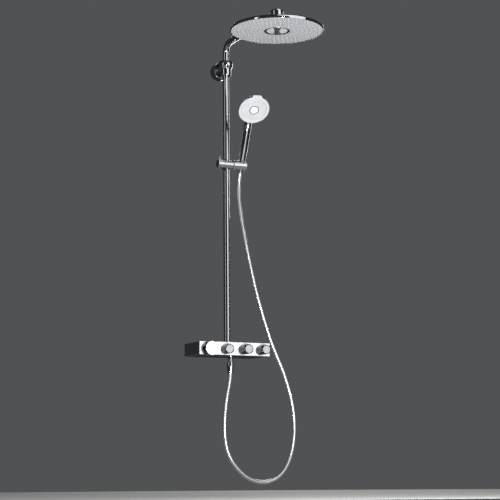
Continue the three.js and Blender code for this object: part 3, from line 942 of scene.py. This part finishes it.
form = hand_body()
recess = as_object("recess_form", lathe_mesh(
    [(0, 20.2), (21, 19.2), (36, 15.6), (46, 10.6), (51, 5.5), (51, -6), (0, -6)], 96, ON_FACE), chrome)
combine(form, "DIFFERENCE", recess)
settled(form)
discard(recess)
shaped = bmesh.new()
shaped.from_mesh(form.data)
discard(form)
hand_shell = as_object("hand_shell", shaped, plated_plastic)
stands_for(hand_shell, "hand_shower_body")
print("hand shower faces:", len(hand_shell.data.polygons))

# %% [markdown]
# ## The hand shower's face
# A silk grey disc has a white button at its centre, set off by a groove whose dark grey is
# painted shade. Round it lies the ring that selects the spray, with a white thumb tab at the
# top of the head.

# %% Face and button
face = turned("hand_face", [
    (0, 4.5), (43.4, 4.5), (43.4, -0.6), (41.6, -0.6), (41.6, -0.1), (40.8, -0.1), (40.8, -0.6),
    (17.4, -0.6), (17.4, 0.6), (14.9, 0.6), (14.9, -0.6), (0, -0.6)], ON_FACE, spray_face, 96, 0.2)


def from_centre(p):
    """How far a point lies from the middle of the face, across it, in millimetres."""
    return (p - FACE_CENTRE - FACE_NORMAL * (p - FACE_CENTRE).dot(FACE_NORMAL)).length / MM


# The groove's walls and floor get the dark grey plastic: painted shade in the recess.
print("groove:", inlaid(face, grey_plastic, lambda p: 14.8 < from_centre(p) < 17.5
                        and (p - FACE_CENTRE).dot(-FACE_NORMAL) < 2 * MM))
stands_for(face, "hand_face_plate")
button = turned("hand_button", [
    (0, -2.4), (13.3, -2.4), (14.5, -1.4), (14.5, -0.7), (0, -0.7)], ON_FACE, white_plastic, 64, 0.6)
stands_for(button, "hand_centre_button")


# %% Selector ring and its tab
def slab_mesh(outline, low_z, high_z, turn):
    """A flat slab with a given outline, between two heights, in millimetres."""
    mesh = bmesh.new()
    low = [mesh.verts.new((x * MM, y * MM, low_z * MM)) for x, y in outline]
    high = [mesh.verts.new((x * MM, y * MM, high_z * MM)) for x, y in outline]
    mesh.faces.new(low)
    mesh.faces.new(high)
    for k in range(len(outline)):
        n = (k + 1) % len(outline)
        mesh.faces.new((low[k], low[n], high[n], high[k]))
    mesh.transform(turn)
    return mesh


TAB_OUTLINE = [
    (-17, 47), (-17, 56), (-13.5, 60.6), (-5, 61.5), (5, 61.5), (13.5, 60.6), (17, 56), (17, 47)]
ring_profile = rounded([
    (43.8, 1.2), (FACE_RADIUS, 1.2), (FACE_RADIUS, 0), (FACE_RADIUS - 1.4, -1.8), (45, -1.8),
    (43.8, -1)], 0.4)
selector = worked(
    "selector_ring", [lathe_mesh(ring_profile, 96, ON_FACE), slab_mesh(TAB_OUTLINE, -1.6, 1.1, ON_FACE)],
    [rod_mesh(43.75, -4, 4, ON_FACE, 96)], spray_face, 0.35, 50)
print("tab:", inlaid(selector, white_plastic, lambda p: from_centre(p) > 54.9))
stands_for(selector, "spray_selector")
print("selector faces:", len(selector.data.polygons))

# %% [markdown]
# ## The rain shower
# A shallow chromed dome, 310 mm across and little more than a finger thick, with a pale
# silk spray face. At its centre a ring frames a second spray: two pale half moons with a
# dark bar between them. The dome is turned; the half moons are drawn as outlines.

# %% Dome and face
SPRAY_Z = 1031
HEAD_RADIUS = 155.4
rim_line = [(HEAD_RADIUS - 3, 0), (HEAD_RADIUS, 0), (HEAD_RADIUS + 0.4, 3), (HEAD_RADIUS + 0.2, 6),
            (HEAD_RADIUS - 1.2, 9), (HEAD_RADIUS - 4.2, 11.6), (HEAD_RADIUS - 9.5, 13.4), (135, 14.9),
            (120, 16.1), (100, 17.9), (80, 19.4), (60, 20.7), (45, 21.4), (30, 21.8), (19, 22)]
dome_profile = [(r, SPRAY_Z + h) for r, h in rim_line] + [
    (13.5, SPRAY_Z + 22), (13.5, SPRAY_Z + 19.8), (45, SPRAY_Z + 19.2), (80, SPRAY_Z + 17.2),
    (120, SPRAY_Z + 13.7), (145, SPRAY_Z + 11), (150.4, SPRAY_Z + 8.4), (152.7, SPRAY_Z + 4)]
dome = turned("dome", dome_profile, UP_HEAD, chrome, 160, 0.8)
stands_for(dome, "rain_shell")
plate = turned("spray_disc", [
    (43.4, SPRAY_Z), (152.3, SPRAY_Z), (152.3, SPRAY_Z + 3), (43.4, SPRAY_Z + 3)],
    UP_HEAD, spray_face, 160, 0.5)
stands_for(plate, "spray_plate")
print("rain shower across", round(2 * HEAD_RADIUS), "mm")

# %% Centre spray
frame_ring = turned("spray_ring", [
    (38.8, SPRAY_Z - 1.4), (43, SPRAY_Z - 1.4), (43, SPRAY_Z + 3), (38.8, SPRAY_Z + 3)],
    UP_HEAD, chrome, 96, 0.6)
stands_for(frame_ring, "centre_ring")
disc = turned("centre_disc", [
    (0, SPRAY_Z + 0.6), (38.4, SPRAY_Z + 0.6), (38.4, SPRAY_Z + 3), (0, SPRAY_Z + 3)],
    UP_HEAD, grey_plastic, 64, 0.3)
stands_for(disc, "centre_plate")


# The centre spray stands turned on the head's axis, with its bar towards the room's left.
CENTRE_TURN = math.radians(-26)
ON_CENTRE = UP_HEAD @ Matrix.Rotation(CENTRE_TURN, 4, "Z")


def half_moon(side):
    """A D-shaped pad: an arc along the ring and a bowed side towards the bar."""
    ring_angles = [math.radians(-62 + 124 * i / 20) for i in range(21)]
    outer = [(34.5 * math.cos(a), 34.5 * math.sin(a)) for a in ring_angles]
    bow_angles = [math.radians(90 - 180 * i / 10) for i in range(1, 10)]
    inner = [(16.2 - 8 * math.cos(a), 30.5 * math.sin(a)) for a in bow_angles]
    outline = [(side * x, y) for x, y in outer + inner]
    return slab_mesh(outline, SPRAY_Z - 0.5, SPRAY_Z + 1.0, ON_CENTRE)


for name, side in (("pad_left", -1), ("pad_right", 1)):
    pad = worked(name, [half_moon(side)], [], white_plastic, 0.5, 50)
    belongs_to(pad, "rain_shower")
bar_mesh = box_mesh((-4.5, -36, SPRAY_Z - 2.6), (4.5, 36, SPRAY_Z + 0.4))
bar_mesh.transform(ON_CENTRE)
bar = worked("centre_bar", [bar_mesh], [], grey_plastic, 0.8)
stands_for(bar, "centre_bridge")
print("centre spray turned by", round(math.degrees(CENTRE_TURN)), "degrees")

# %% [markdown]
# ## Spray nozzles
# The nozzles stand in rings, and each ring has six more than the one inside it, so that
# they are evenly spaced. Placing hundreds by hand would be slow; a Geometry Nodes tree
# works the ring out of each point's number, puts a small stepped cone on every point and
# makes them real. The same tree serves both showers with other sizes.

# %% Nozzle tree
def nozzle_tree():
    tree = bpy.data.node_groups.new("Nozzles in rings", "GeometryNodeTree")
    sockets = tree.interface
    sockets.new_socket("Geometry", in_out="OUTPUT", socket_type="NodeSocketGeometry")
    for name, kind in (
            ("First ring", "Int"), ("Last ring", "Int"), ("Ring spacing", "Float"),
            ("Foot radius", "Float"), ("Length", "Float"), ("Material", "Material")):
        sockets.new_socket(name, in_out="INPUT", socket_type=f"NodeSocket{kind}")
    given = add(tree, "NodeGroupInput").outputs

    def maths(operation, first, second=0.0):
        return add(tree, "ShaderNodeMath", {"operation": operation}, {0: first, 1: second}).outputs[0]

    def inside(ring):
        """Ring k holds 6k points, so the rings inside it hold 3k(k - 1)."""
        return maths("MULTIPLY", maths("MULTIPLY", ring, maths("SUBTRACT", ring, 1.0)), 3.0)

    skipped = inside(given["First ring"])
    total = inside(maths("ADD", given["Last ring"], 1.0))
    number = maths("ADD", add(tree, "GeometryNodeInputIndex").outputs["Index"], skipped)
    root = maths("SQRT", maths("ADD", maths("MULTIPLY", number, 4 / 3), 1.0001))
    ring = maths("FLOOR", maths("DIVIDE", maths("ADD", root, 1.0), 2.0))
    share = maths("DIVIDE", maths("SUBTRACT", number, inside(ring)), maths("MULTIPLY", ring, 6.0))
    turn = maths("MULTIPLY", share, 2 * math.pi)
    reach = maths("MULTIPLY", ring, given["Ring spacing"])
    spot = add(tree, "ShaderNodeCombineXYZ", None, {
        "X": maths("MULTIPLY", reach, maths("COSINE", turn)),
        "Y": maths("MULTIPLY", reach, maths("SINE", turn))})
    points = add(tree, "GeometryNodePoints", None, {
        "Count": maths("SUBTRACT", total, skipped), "Position": spot.outputs["Vector"]})
    foot = add(tree, "GeometryNodeMeshCone", None, {
        "Vertices": 12, "Radius Bottom": given["Foot radius"],
        "Radius Top": maths("MULTIPLY", given["Foot radius"], 0.8),
        "Depth": maths("MULTIPLY", given["Length"], 0.45)})
    tip = add(tree, "GeometryNodeMeshCone", None, {
        "Vertices": 12, "Radius Bottom": maths("MULTIPLY", given["Foot radius"], 0.62),
        "Radius Top": maths("MULTIPLY", given["Foot radius"], 0.42), "Depth": given["Length"]})
    nozzle = add(tree, "GeometryNodeJoinGeometry")
    tree.links.new(foot.outputs["Mesh"], nozzle.inputs["Geometry"])
    tree.links.new(tip.outputs["Mesh"], nozzle.inputs["Geometry"])
    placed = add(tree, "GeometryNodeInstanceOnPoints", None, {
        "Points": points.outputs["Points"], "Instance": nozzle.outputs["Geometry"]})
    real = add(tree, "GeometryNodeRealizeInstances", None, {"Geometry": placed.outputs["Instances"]})
    painted = add(tree, "GeometryNodeSetMaterial", None, {
        "Geometry": real.outputs["Geometry"], "Material": given["Material"]})
    add(tree, "NodeGroupOutput", None, {"Geometry": painted.outputs["Geometry"]})
    return tree


NOZZLES = nozzle_tree()


def nozzles(name, turn, **sizes):
    """Runs the tree on an empty mesh and turns the result on to a spray face."""
    piece = bpy.data.objects.new(name, bpy.data.meshes.new(name))
    bpy.context.scene.collection.objects.link(piece)
    modifier = piece.modifiers.new("nozzles", "NODES")
    modifier.node_group = NOZZLES
    sizes["Material"] = silicone
    for socket in NOZZLES.interface.items_tree:
        if socket.in_out == "INPUT":
            modifier[socket.identifier] = sizes[socket.name.replace(" ", "_")]
    settled(piece)
    piece.data.transform(turn)
    return piece


DOWN = Matrix.Rotation(math.pi, 4, "X")
rain_nozzles = nozzles("rain_nozzles", at(0, HEAD_Y, SPRAY_Z) @ DOWN, First_ring=4, Last_ring=10,
                       Ring_spacing=0.0143, Foot_radius=0.0019, Length=0.0022)
belongs_to(rain_nozzles, "rain_shower")
hand_nozzles = nozzles("hand_nozzles", ON_FACE @ at(0, 0, -0.6) @ DOWN, First_ring=4, Last_ring=6,
                       Ring_spacing=0.0062, Foot_radius=0.0012, Length=0.0016)
belongs_to(hand_nozzles, "hand_shower")
POINTS_EACH = 48
print("nozzles:", [len(o.data.vertices) // POINTS_EACH for o in (rain_nozzles, hand_nozzles)])

# %% [markdown]
# ## The frame's own pieces
# What the frame already has right stays: back plate, inlets, mixer body, cartridges and
# stems. They only get their finishes here, by the slot that the record gives each one.

# %% Finishes for the frame's pieces
for node, piece in frame["nodes"].items():
    for place in piece.material_slots:
        place.material = SLOT_FINISH[slot_of[node]]
print("frame pieces shown:", sum(not piece.hide_render for piece in frame["nodes"].values()))

# %% [markdown]
# ## Studio
# Chrome shows what stands round it, so it is lit as in a studio for glass and metal:
# large soft boxes in front draw the bright line on the rail and light the white plate,
# and the rest of the room is a quiet mid grey, which gives the dark edges. The floor is
# plain and pale. The soft boxes are not seen by the camera.

# %% Floor
floor_mesh = bmesh.new()
bmesh.ops.create_circle(floor_mesh, cap_ends=True, segments=96, radius=1.9)
floor_mesh.transform(Matrix.Translation((0, -0.35, cad_box[0].z - 0.03)))
floor_finish = plastic_finish("Pale studio floor", 0xD9D9D7, 0xDEDEDC, 0.7, 3.0, 0.02)
floor = as_object("floor", floor_mesh, floor_finish)
print("floor at", round(cad_box[0].z - 0.03, 3), "m")


# %% Soft boxes
def soft_box(name, place, aim, width, height, power):
    light = bpy.data.lights.new(name, "AREA")
    light.shape = "RECTANGLE"
    light.size, light.size_y, light.energy = width, height, power
    box = bpy.data.objects.new(name, light)
    way = Vector(aim) - Vector(place)
    box.matrix_world = Matrix.Translation(place) @ way.to_track_quat("-Z", "Y").to_matrix().to_4x4()
    box.visible_camera = False
    bpy.context.scene.collection.objects.link(box)


soft_box("main_light", (1.45, -3.7, 1.2), (0, -0.1, 0.4), 2.6, 4.4, 46)
soft_box("left_light", (-3.3, -1.2, 1.4), (0, -0.1, 0.6), 0.5, 3.0, 6)
soft_box("top_light", (0.6, -1.2, 3.2), (0, -0.2, 0.6), 2.0, 1.2, 12)
soft_box("low_fill", (-0.6, -3.0, -0.42), (0, -0.45, 1.03), 0.4, 0.4, 120)
soft_box("back_fill", (1.8, 2.6, 1.6), (0, -0.1, 0.5), 1.2, 1.2, 30)

# %% Room
world = bpy.data.worlds.new("studio")
world.use_nodes = True
bpy.context.scene.world = world
room = world.node_tree.nodes["Background"]
room.inputs["Color"].default_value = linear(0x86888B)
# The far wall behind the set is lit, and the room that the chrome mirrors is dimmer.
seen = add(world.node_tree, "ShaderNodeLightPath")
level = add(world.node_tree, "ShaderNodeMapRange", None, {
    "Value": seen.outputs["Is Camera Ray"], "To Min": 0.12, "To Max": 0.34})
world.node_tree.links.new(level.outputs["Result"], room.inputs["Strength"])
bpy.context.scene.view_settings.view_transform = "Standard"
print("room colour", [round(c, 3) for c in room.inputs["Color"].default_value])
